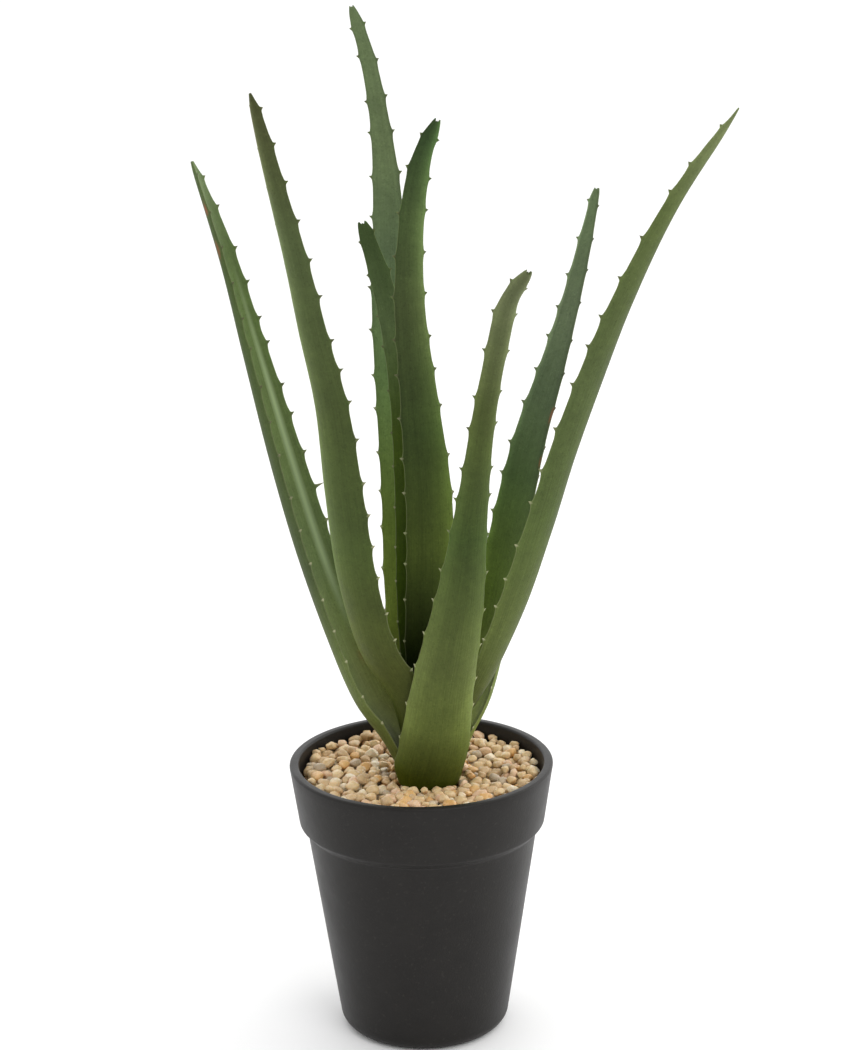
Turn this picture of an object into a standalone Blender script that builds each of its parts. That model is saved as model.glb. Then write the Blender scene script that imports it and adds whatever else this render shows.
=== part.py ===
"""Potted aloe: eight toothed leaves on a short stem, in a tapered charcoal pot with a pebble top dressing.

Frame: metres, +Z up. The origin is the centre of the pot's flat underside, and the front of the plant
looks along -Y. Leaf tables are in millimetres, because that is how the plant was laid out.
"""
import math
import random

import bmesh
import bpy
import numpy as np

MM = 0.001
GAP = 0.3                    # clearance between neighbouring solids, mm
SIDE_GAP = 0.4               # clearance to a sloping wall, measured level

# ---- driving dimensions, mm -----------------------------------------------------------------------
POT_HEIGHT = 138.5
RIM_RADIUS = 65.0            # outer radius of the lip
COLLAR_DROP = 30.3           # from the top of the lip to the collar's lower edge
COLLAR_FOOT_RADIUS = 60.7
SHOULDER_DROP = 3.6          # height of the slope from the collar down to the body
BODY_TOP_RADIUS = 57.0
BASE_RADIUS = 42.4
BASE_FILLET = 7.6
FLOOR_THICKNESS = 4.5
WALL_THICKNESS = 3.6
LIP_THICKNESS = 4.6
LIP_ROUNDING = 1.3
ROUND_SEGMENTS = 48

SOIL_TOP = 122.0
GRAVEL_TOP = 131.0           # top of the packed bed that the loose pebbles lie on
GRAVEL_DIMPLE = 1.6          # depth of the dips between its stones
GRAVEL_HOLE_RADIUS = 20.5    # clear round the leaf bases
PEBBLE_COUNT = 32
PEBBLE_SIZES = (3.0, 4.4)    # smallest and largest half-length of a loose pebble
PEBBLE_CLEARANCE = 27.0      # loose pebbles start this far from the stem's axis
PEBBLE_REACH = 51.5          # and end this far from the pot's axis
PEBBLE_CORNERS = 18          # corner points of one loose pebble
BED_STONES = 330             # packed stones that shape the top of the bed
BED_STONE_REACH = 4.5        # radius of one of them
BED_ROWS = 7                 # rings of facets across the bed
TAU = 2 * math.pi

PLANT_X = 5.0                # the stem stands slightly to the right of the pot's centre
PLANT_Y = 0.0
STEM_FOOT = 92.0
STEM_WIDE_Z = 124.0
STEM_TOP = 152.0
STEM_WIDE_RADIUS = 10.5
STEM_TOP_RADIUS = 4.2

# ---- leaves ---------------------------------------------------------------------------------------
# spine: points of the mid-line, mm, from the base to the tip.
# width: (share of length, chord between the margins in mm).
# cup: (share of length, half of the angle that the section bends through, degrees).
# facing: (share of length, compass direction of the outer side, degrees from +X towards +Y).
# thick: thickness of the middle at the base and at the tip, mm.
# teeth: number on each margin.
LEAVES = {
    "leaf_front": {
        "spine": [(-0.3, -14.5, 127), (5.8, -17, 145), (11.3, -25, 182), (20, -37, 232), (26.2, -51, 285),
                  (31, -64, 326), (37, -77, 362), (42, -84, 384), (50, -90, 398)],
        "width": [(0, 23), (0.02, 32), (0.05, 33.5), (0.1, 33.4), (0.16, 31.4), (0.25, 28.4), (0.36, 23.8),
                  (0.5, 17.2), (0.62, 13), (0.8, 10), (0.93, 9), (1, 5)],
        "cup": [(0, 38), (0.04, 50), (0.15, 48), (0.5, 40), (1, 30)],
        "facing": [(0, 272), (0.5, 278), (1, 285)],
        "thick": (5.0, 2.4),
        "teeth": 14,
    },
    "leaf_left": {
        "spine": [(-7, 4, 129), (-15.5, 7, 147), (-28.5, 13, 166), (-42, 21, 197), (-56, 29, 236),
                  (-69, 37, 281), (-82, 45, 334), (-93, 52, 380), (-107, 59, 427)],
        "width": [(0, 20), (0.11, 33), (0.2, 31.5), (0.3, 28.5), (0.5, 25.5), (0.75, 18), (0.92, 12), (1, 5)],
        "cup": [(0, 48), (0.12, 60), (0.3, 67), (0.7, 66), (1, 40)],
        "facing": [(0, 170), (0.07, 163), (0.16, 155), (0.3, 154), (0.6, 157), (0.8, 161), (1, 168)],
        "thick": (4.6, 2.4),
        "teeth": 15,
    },
    "leaf_right_rear": {
        "spine": [(15.5, 6.5, 130), (21, 9, 148), (31, 15, 169), (40, 28, 207), (48, 42, 244), (58, 57, 286),
                  (69, 70, 319), (79, 82, 352), (86, 90, 379), (92, 98, 405)],
        "width": [(0, 20), (0.12, 25), (0.35, 25), (0.55, 20), (0.8, 11), (0.93, 7), (1, 4)],
        "cup": [(0, 48), (0.3, 42), (0.7, 34), (1, 24)],
        "facing": [(0, 25), (0.4, 48), (1, 55)],
        "thick": (4.4, 2.4),
        "teeth": 14,
    },
    "leaf_right": {
        "spine": [(14, -4.5, 139), (20, -4, 160), (34, -7, 186), (48, -16, 222), (60, -28, 264),
                  (70, -36, 301), (83, -43, 341), (96, -49, 377), (116, -56, 421), (143, -62, 464)],
        "width": [(0, 17), (0.12, 24), (0.25, 26), (0.45, 21), (0.65, 18), (0.85, 11), (0.95, 6.5), (1, 3)],
        "cup": [(0, 48), (0.3, 45), (0.7, 40), (1, 28)],
        "facing": [(0, 345), (0.3, 325), (1, 320)],
        "thick": (4.4, 2.4),
        "teeth": 16,
    },
    "leaf_rear_tall": {
        "spine": [(1.5, 10.5, 138), (-2.5, 18.5, 172), (-7.6, 28, 214), (-9, 45, 262), (-11, 63, 308),
                  (-13, 80, 355), (-13, 96, 396), (-16, 110, 434), (-22, 121, 468), (-30, 130, 494)],
        "width": [(0, 15), (0.12, 18), (0.35, 18), (0.6, 17.5), (0.72, 15), (0.85, 9.5), (0.93, 7.5), (1, 5)],
        "cup": [(0, 48), (0.3, 38), (0.7, 30), (1, 24)],
        "facing": [(0, 95), (0.5, 92), (1, 95)],
        "thick": (4.2, 2.2),
        "teeth": 16,
    },
    "leaf_left_front": {
        "spine": [(-4, -4, 140), (-10.5, -7, 172), (-23.8, -12, 198), (-32.5, -20, 236), (-37, -28, 280),
                  (-41, -35, 325), (-48, -42, 362), (-54, -48, 396), (-62, -54, 434), (-70, -60, 473)],
        "width": [(0, 17), (0.1, 28), (0.16, 30), (0.22, 28.5), (0.3, 26.7), (0.4, 24.8), (0.6, 19),
                  (0.85, 12), (0.95, 8), (1, 4)],
        "cup": [(0, 48), (0.3, 45), (0.7, 38), (1, 28)],
        "facing": [(0, 208), (0.3, 226), (1, 230)],
        "thick": (4.2, 2.2),
        "teeth": 15,
    },
    "leaf_inner_short": {
        "spine": [(2.2, 7.5, 148), (-2, 10.5, 178), (-4.5, 16.8, 218), (-5, 22, 266), (-7, 28, 314),
                  (-12, 35, 352), (-18, 40, 376), (-25, 46, 398)],
        "width": [(0, 13), (0.12, 16), (0.4, 15), (0.7, 13), (0.87, 11), (0.95, 8.5), (1, 6)],
        "cup": [(0, 48), (0.3, 40), (0.7, 36), (1, 30)],
        "facing": [(0, 115), (0.5, 112), (1, 112)],
        "thick": (3.8, 2.2),
        "teeth": 11,
    },
    "leaf_centre": {
        "spine": [(4, 2, 153), (4, 3, 180), (5.6, 5, 219), (6, 8, 269), (2, 11, 318), (-2, 14, 366),
                  (0, 17, 408), (5, 19, 434), (12, 21, 450)],
        "width": [(0, 13), (0.12, 22), (0.3, 23), (0.42, 22), (0.6, 17), (0.8, 12.5), (0.93, 9.5), (1, 5)],
        "cup": [(0, 48), (0.3, 44), (0.7, 38), (1, 30)],
        "facing": [(0, 90), (0.5, 84), (1, 80)],
        "thick": (3.8, 2.2),
        "teeth": 13,
    },
}

TOOTH_HEIGHT = 1.9           # how far a tooth stands out of the margin, mm
TOOTH_LEAN = 1.1             # how far its point leans towards the leaf's tip, mm
TOOTH_HALF_BASE = 2.2        # half of its length along the margin, mm
SPINE_STEPS = 240


# ---- curves ---------------------------------------------------------------------------------------
def smooth_path(points, steps):
    """Points along a Catmull-Rom curve through the given points, spaced evenly along its length."""
    ctrl = np.array(points, dtype=float)
    ctrl = np.vstack([2 * ctrl[0] - ctrl[1], ctrl, 2 * ctrl[-1] - ctrl[-2]])
    knots = np.concatenate([[0], np.cumsum(np.sqrt(np.linalg.norm(np.diff(ctrl, axis=0), axis=1)))])
    dense = []
    for i in range(1, len(ctrl) - 2):
        for u in np.linspace(knots[i], knots[i + 1], 24, endpoint=(i == len(ctrl) - 3)):
            dense.append(catmull_rom(ctrl[i - 1:i + 3], knots[i - 1:i + 3], u))
    dense = np.array(dense)
    along = np.concatenate([[0], np.cumsum(np.linalg.norm(np.diff(dense, axis=0), axis=1))])
    even = np.linspace(0, along[-1], steps + 1)
    return np.stack([np.interp(even, along, dense[:, k]) for k in range(3)], axis=1), along[-1]


def catmull_rom(p, k, u):
    a1 = (k[1] - u) / (k[1] - k[0]) * p[0] + (u - k[0]) / (k[1] - k[0]) * p[1]
    a2 = (k[2] - u) / (k[2] - k[1]) * p[1] + (u - k[1]) / (k[2] - k[1]) * p[2]
    a3 = (k[3] - u) / (k[3] - k[2]) * p[2] + (u - k[2]) / (k[3] - k[2]) * p[3]
    b1 = (k[2] - u) / (k[2] - k[0]) * a1 + (u - k[0]) / (k[2] - k[0]) * a2
    b2 = (k[3] - u) / (k[3] - k[1]) * a2 + (u - k[1]) / (k[3] - k[1]) * a3
    return (k[2] - u) / (k[2] - k[1]) * b1 + (u - k[1]) / (k[2] - k[1]) * b2


def profile(knots, t):
    """A smooth curve through (t, value) knots: cubic between them, with slopes from their neighbours."""
    ts = np.array([k[0] for k in knots], dtype=float)
    vs = np.array([k[1] for k in knots], dtype=float)
    slopes = np.gradient(vs, ts) if len(ts) > 2 else np.full(2, (vs[1] - vs[0]) / (ts[1] - ts[0]))
    i = int(min(max(np.searchsorted(ts, t) - 1, 0), len(ts) - 2))
    h = ts[i + 1] - ts[i]
    u = min(max((t - ts[i]) / h, 0.0), 1.0)
    return ((1 + 2 * u) * (1 - u) ** 2 * vs[i] + u * (1 - u) ** 2 * h * slopes[i]
            + u * u * (3 - 2 * u) * vs[i + 1] + u * u * (u - 1) * h * slopes[i + 1])


# ---- leaf surface ---------------------------------------------------------------------------------
class Leaf:
    """A tapering blade with a crescent section; place() gives a point of its surface."""

    def __init__(self, spec):
        self.spec = spec
        self.path, self.length = smooth_path(spec["spine"], SPINE_STEPS)
        self.tangents = np.gradient(self.path, axis=0)
        self.tangents /= np.linalg.norm(self.tangents, axis=1)[:, None]

    def frame(self, t):
        """Point, tangent, outward and sideways directions at share t of the length."""
        x = min(max(t, 0.0), 1.0) * SPINE_STEPS
        i = min(int(x), SPINE_STEPS - 1)
        u = x - i
        point = (1 - u) * self.path[i] + u * self.path[i + 1]
        tangent = (1 - u) * self.tangents[i] + u * self.tangents[i + 1]
        tangent /= np.linalg.norm(tangent)
        turn = math.radians(profile(self.spec["facing"], t))
        out = np.array([math.cos(turn), math.sin(turn), 0.0])
        out -= tangent * out.dot(tangent)
        out /= np.linalg.norm(out)
        return point, tangent, out, np.cross(tangent, out)

    def place(self, t, s, side):
        """s runs from -1 to 1 between the margins; side is 1 on the outer face and -1 on the inner."""
        point, _, out, across = self.frame(t)
        bend = math.radians(max(profile(self.spec["cup"], t), 1.0))
        radius = profile(self.spec["width"], t) / 2 / math.sin(bend)
        thick_base, thick_tip = self.spec["thick"]
        thick = thick_base + (thick_tip - thick_base) * t
        half = thick / 2 * (1 - abs(s) ** 2.2) ** 0.7
        angle = s * bend
        reach = radius + side * half
        return point - out * radius + reach * (out * math.cos(angle) + across * math.sin(angle))

    def margin_push(self, t, s):
        """Directions in which a tooth on margin s stands: out of the margin, and along the leaf."""
        _, tangent, out, across = self.frame(t)
        bend = math.radians(max(profile(self.spec["cup"], t), 1.0))
        away = s * across * math.cos(bend) - out * math.sin(bend)
        return away, tangent


# ---- scene ----------------------------------------------------------------------------------------
def clear_scene():
    for obj in list(bpy.data.objects):
        bpy.data.objects.remove(obj, do_unlink=True)


def plain_material(name, color, roughness):
    material = bpy.data.materials.new(name)
    material.use_nodes = True
    shader = material.node_tree.nodes["Principled BSDF"]
    shader.inputs["Base Color"].default_value = (*color, 1.0)
    shader.inputs["Roughness"].default_value = roughness
    shader.inputs["Metallic"].default_value = 0.0
    return material


def add_object(name, bm, material, sharp_degrees=40):
    """Finish a bmesh laid out in millimetres as an object in metres."""
    bmesh.ops.recalc_face_normals(bm, faces=bm.faces)
    bmesh.ops.scale(bm, vec=(MM, MM, MM), verts=bm.verts)
    mesh = bpy.data.meshes.new(name)
    bm.to_mesh(mesh)
    bm.free()
    mesh.shade_smooth()
    mesh.set_sharp_from_angle(angle=math.radians(sharp_degrees))
    mesh.materials.append(material)
    obj = bpy.data.objects.new(name, mesh)
    bpy.context.scene.collection.objects.link(obj)
    return obj


def turn(profile_points, segments=ROUND_SEGMENTS, centre=(0.0, 0.0)):
    """A closed body of revolution about a vertical axis, from (radius, height) points, axis to axis."""
    bm = bmesh.new()
    verts = [bm.verts.new((centre[0] + r, centre[1], z)) for r, z in profile_points]
    edges = [bm.edges.new(pair) for pair in zip(verts, verts[1:])]
    bmesh.ops.spin(bm, geom=verts + edges, cent=(*centre, 0), axis=(0, 0, 1), angle=TAU,
                   steps=segments, use_merge=True)
    bmesh.ops.remove_doubles(bm, verts=bm.verts, dist=0.001)
    return bm


def arc(centre_r, centre_z, radius, start, end, steps):
    """Points of a circular arc in the (radius, height) plane; angles in degrees from outward."""
    angles = [math.radians(start + (end - start) * i / steps) for i in range(steps + 1)]
    return [(centre_r + radius * math.cos(a), centre_z + radius * math.sin(a)) for a in angles]


# ---- pot, soil and top dressing -------------------------------------------------------------------
COLLAR_FOOT_Z = POT_HEIGHT - COLLAR_DROP
SHOULDER_Z = COLLAR_FOOT_Z - SHOULDER_DROP
INNER_LIP_RADIUS = RIM_RADIUS - LIP_THICKNESS
INNER_WALL = [                                   # (height, radius) of the planting hollow, bottom to top
    (FLOOR_THICKNESS, BASE_RADIUS - WALL_THICKNESS - 3.0),
    (FLOOR_THICKNESS + 3.0, BASE_RADIUS - WALL_THICKNESS),
    (SHOULDER_Z - 2.0, BODY_TOP_RADIUS - WALL_THICKNESS),
    (COLLAR_FOOT_Z + 1.0, COLLAR_FOOT_RADIUS - WALL_THICKNESS - 0.6),
    (POT_HEIGHT - LIP_ROUNDING, INNER_LIP_RADIUS),
]


def hollow_radius(z):
    return float(np.interp(z, [w[0] for w in INNER_WALL], [w[1] for w in INNER_WALL]))


def make_pot(material):
    lip_middle = RIM_RADIUS - LIP_ROUNDING
    inner_middle = INNER_LIP_RADIUS + LIP_ROUNDING
    lip_z = POT_HEIGHT - LIP_ROUNDING
    foot = arc(BASE_RADIUS - BASE_FILLET, BASE_FILLET, BASE_FILLET, -90, -8, 5)
    lip = arc(lip_middle, lip_z, LIP_ROUNDING, 0, 90, 3) + arc(inner_middle, lip_z, LIP_ROUNDING, 90, 180, 3)
    outside = [(0, 0)] + foot + [(BODY_TOP_RADIUS, SHOULDER_Z), (COLLAR_FOOT_RADIUS, COLLAR_FOOT_Z)]
    inside = [(r, z) for z, r in reversed(INNER_WALL[:-1])] + [(0, FLOOR_THICKNESS)]
    add_object("pot", turn(outside + lip + inside), material, 30)


def make_soil(material):
    """Peat plug that fills the hollow, with a cavity for the buried part of the stem."""
    heights = [FLOOR_THICKNESS + GAP, *[w[0] for w in INNER_WALL[1:-1]], SOIL_TOP]
    side = [(hollow_radius(z) - SIDE_GAP, z) for z in heights]
    soil = add_object("potting_soil", turn([(0, heights[0])] + side + [(0, SOIL_TOP)]), material)
    cavity = add_object("stem_cavity", turn(stem_profile(GAP), 24, (PLANT_X, PLANT_Y)), material)
    cavity.hide_render = True
    cavity.display_type = "WIRE"
    cut = soil.modifiers.new("stem_hole", "BOOLEAN")
    cut.operation = "DIFFERENCE"
    cut.object = cavity


def gravel_height(x, y, stones):
    """Height of the bed's top: domes of the packed stones with dips between them."""
    nearest = min(math.hypot(x - sx, y - sy) for sx, sy in stones)
    return GRAVEL_TOP - GRAVEL_DIMPLE * min(nearest / BED_STONE_REACH, 1.0) ** 2


def make_gravel_bed(material, rng):
    stones = [(rng.uniform(-60, 60), rng.uniform(-60, 60)) for _ in range(BED_STONES)]
    outer = hollow_radius(SOIL_TOP) - SIDE_GAP
    columns, rows = ROUND_SEGMENTS, BED_ROWS
    bm = bmesh.new()
    top, bottom = [], []
    for i in range(columns):
        a = TAU * i / columns
        ray = np.array([math.cos(a), math.sin(a)])
        inner = np.array([PLANT_X, PLANT_Y]) + GRAVEL_HOLE_RADIUS * ray
        rim = outer * ray
        line = [inner + (rim - inner) * k / rows for k in range(rows + 1)]
        top.append([bm.verts.new((x, y, gravel_height(x, y, stones))) for x, y in line])
        bottom.append([bm.verts.new((*p, SOIL_TOP + GAP)) for p in (line[0], line[-1])])
    for i in range(columns):
        j = (i + 1) % columns
        for k in range(rows):
            bm.faces.new((top[i][k], top[i][k + 1], top[j][k + 1], top[j][k]))
        bm.faces.new((bottom[i][0], bottom[j][0], bottom[j][1], bottom[i][1]))
        bm.faces.new((top[i][0], top[j][0], bottom[j][0], bottom[i][0]))
        bm.faces.new((top[i][-1], bottom[i][1], bottom[j][1], top[j][-1]))
    bmesh.ops.triangulate(bm, faces=bm.faces)
    add_object("gravel_bed", bm, material, 180)


def pebble_spots(rng):
    """Places for the loose pebbles, spread over the bed with room for the largest between them."""
    spots = []
    while len(spots) < PEBBLE_COUNT:
        x, y = rng.uniform(-PEBBLE_REACH, PEBBLE_REACH), rng.uniform(-PEBBLE_REACH, PEBBLE_REACH)
        near_stem = math.hypot(x - PLANT_X, y - PLANT_Y) < PEBBLE_CLEARANCE
        apart = all(math.hypot(x - a, y - b) > 2 * PEBBLE_SIZES[1] + 1.0 for a, b in spots)
        if apart and not near_stem and math.hypot(x, y) < PEBBLE_REACH:
            spots.append((x, y))
    return spots


def make_pebble(name, x, y, material, rng):
    """A rounded stone: the hull of seeded points on a squashed ball, lying on the bed."""
    size = rng.uniform(*PEBBLE_SIZES)
    breadth = size * rng.uniform(0.75, 0.95)
    height = size * rng.uniform(0.55, 0.75)
    turn_angle = rng.uniform(0, TAU)
    points = []
    for k in range(PEBBLE_CORNERS):
        up = 1 - 2 * (k + 0.5) / PEBBLE_CORNERS
        a = k * math.pi * (3 - math.sqrt(5)) + rng.uniform(-0.25, 0.25)
        flat = math.sqrt(1 - up * up)
        points.append((size * flat * math.cos(a), breadth * flat * math.sin(a), height * up))
    lowest = min(p[2] for p in points)
    bm = bmesh.new()
    c, s = math.cos(turn_angle), math.sin(turn_angle)
    for px, py, pz in points:
        bm.verts.new((x + c * px - s * py, y + s * px + c * py, GRAVEL_TOP + GAP + pz - lowest))
    bmesh.ops.convex_hull(bm, input=bm.verts)
    add_object(name, bm, material, 180)


# ---- stem and leaves ------------------------------------------------------------------------------
def stem_profile(extra=0.0):
    """Radius and height along the short stem, blunt at the root end; extra thickens it all round."""
    return [
        (0, STEM_FOOT - extra),
        (5.0 + extra, STEM_FOOT + 1.5 - extra),
        (8.5 + extra, STEM_FOOT + 9),
        (STEM_WIDE_RADIUS + extra, STEM_FOOT + 20),
        (STEM_WIDE_RADIUS + extra, STEM_WIDE_Z),
        (7.6 + extra, STEM_WIDE_Z + 12),
        (STEM_TOP_RADIUS + extra, STEM_TOP - 1 + extra),
        (STEM_TOP_RADIUS - 1 + extra, STEM_TOP + extra),
        (0, STEM_TOP + extra),
    ]


SECTION = [(-1, 1), (-0.75, 1), (-0.26, 1), (0.26, 1), (0.75, 1), (1, 1), (0.5, -1), (-0.5, -1)]
FIRST_TOOTH = 0.09           # share of the leaf's length below which the margins have no teeth
LAST_TOOTH = 0.975


def tooth_stations(count, rng):
    """Share of the length at each tooth of one margin: even steps, nudged."""
    step = (LAST_TOOTH - FIRST_TOOTH) / (count - 1)
    return [FIRST_TOOTH + step * (i + rng.uniform(-0.16, 0.16)) for i in range(count)]


def make_leaf(name, spec, material, rng):
    leaf = Leaf(spec)
    left, right = tooth_stations(spec["teeth"], rng), tooth_stations(spec["teeth"], rng)
    half_base = TOOTH_HALF_BASE / leaf.length
    rings = [(0.0, 0.0, False), (0.045, 0.045, False)]
    for a, b in zip(left, right):
        rings += [(a - half_base, b - half_base, False), (a, b, True), (a + half_base, b + half_base, False)]
    rings.append((1.0, 1.0, False))
    bm = bmesh.new()
    loops = [[bm.verts.new(leaf_point(leaf, lt, rt, tooth, s, side)) for s, side in SECTION]
             for lt, rt, tooth in rings]
    count = len(SECTION)
    for lower, upper in zip(loops, loops[1:]):
        for k in range(count):
            n = (k + 1) % count
            bm.faces.new((lower[k], lower[n], upper[n], upper[k]))
    bm.faces.new(reversed(loops[0]))
    point, tangent, _, _ = leaf.frame(1.0)
    apex = bm.verts.new(point + tangent * profile(spec["width"], 1.0) * 0.5)
    for k in range(count):
        bm.faces.new((loops[-1][k], loops[-1][(k + 1) % count], apex))
    bmesh.ops.triangulate(bm, faces=bm.faces, quad_method="SHORT_EDGE", ngon_method="EAR_CLIP")
    add_object(name, bm, material, 60)


def leaf_point(leaf, left_t, right_t, tooth, s, side):
    """A point on a ring that may slant, so that the teeth of the two margins needn't be opposite."""
    t = left_t + (right_t - left_t) * (s + 1) / 2
    point = leaf.place(t, s, side)
    if tooth and abs(s) == 1:
        away, tangent = leaf.margin_push(t, s)
        size = min(1.0, 0.45 + profile(leaf.spec["width"], t) / 30)
        point = point + (away * TOOTH_HEIGHT + tangent * TOOTH_LEAN) * size
    return point


def main():
    clear_scene()
    leaf_green = plain_material("aloe_leaf", (0.10, 0.16, 0.06), 0.55)
    stem_green = plain_material("aloe_stem", (0.16, 0.17, 0.07), 0.7)
    charcoal = plain_material("charcoal_pot", (0.036, 0.034, 0.033), 0.6)
    peat = plain_material("peat", (0.05, 0.035, 0.025), 0.95)
    stone = plain_material("pebble_stone", (0.55, 0.43, 0.30), 0.5)

    make_pot(charcoal)
    make_soil(peat)
    make_gravel_bed(stone, random.Random(11))
    rng = random.Random(23)
    for number, (x, y) in enumerate(pebble_spots(rng), start=1):
        make_pebble(f"pebble_{number:02d}", x, y, stone, rng)
    add_object("stem", turn(stem_profile(), 24, (PLANT_X, PLANT_Y)), stem_green)
    for number, (name, spec) in enumerate(LEAVES.items()):
        make_leaf(name, spec, leaf_green, random.Random(100 + number))


main()
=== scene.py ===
"""Looks of the potted aloe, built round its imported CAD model: metres, +Z up, in the frame of the CAD."""
import math
import random

import bmesh
import bpy
import numpy as np
from mathutils import Matrix, Vector, noise
from mathutils.bvhtree import BVHTree


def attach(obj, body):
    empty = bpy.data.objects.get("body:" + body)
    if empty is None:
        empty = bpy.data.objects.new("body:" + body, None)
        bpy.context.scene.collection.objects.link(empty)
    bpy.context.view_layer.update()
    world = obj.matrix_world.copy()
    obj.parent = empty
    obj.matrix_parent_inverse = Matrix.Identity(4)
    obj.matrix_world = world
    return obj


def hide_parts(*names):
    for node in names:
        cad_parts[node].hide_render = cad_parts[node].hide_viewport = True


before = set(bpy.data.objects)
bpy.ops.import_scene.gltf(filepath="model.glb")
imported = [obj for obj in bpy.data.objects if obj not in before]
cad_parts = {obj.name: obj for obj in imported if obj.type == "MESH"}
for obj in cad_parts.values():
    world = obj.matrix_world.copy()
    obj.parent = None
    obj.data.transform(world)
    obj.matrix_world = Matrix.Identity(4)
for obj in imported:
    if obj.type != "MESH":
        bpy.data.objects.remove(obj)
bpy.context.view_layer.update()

MM = 0.001                   # sizes below are in millimetres unless they say otherwise
TAU = 2 * math.pi
QUARTER_TURN = math.pi / 2

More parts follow.
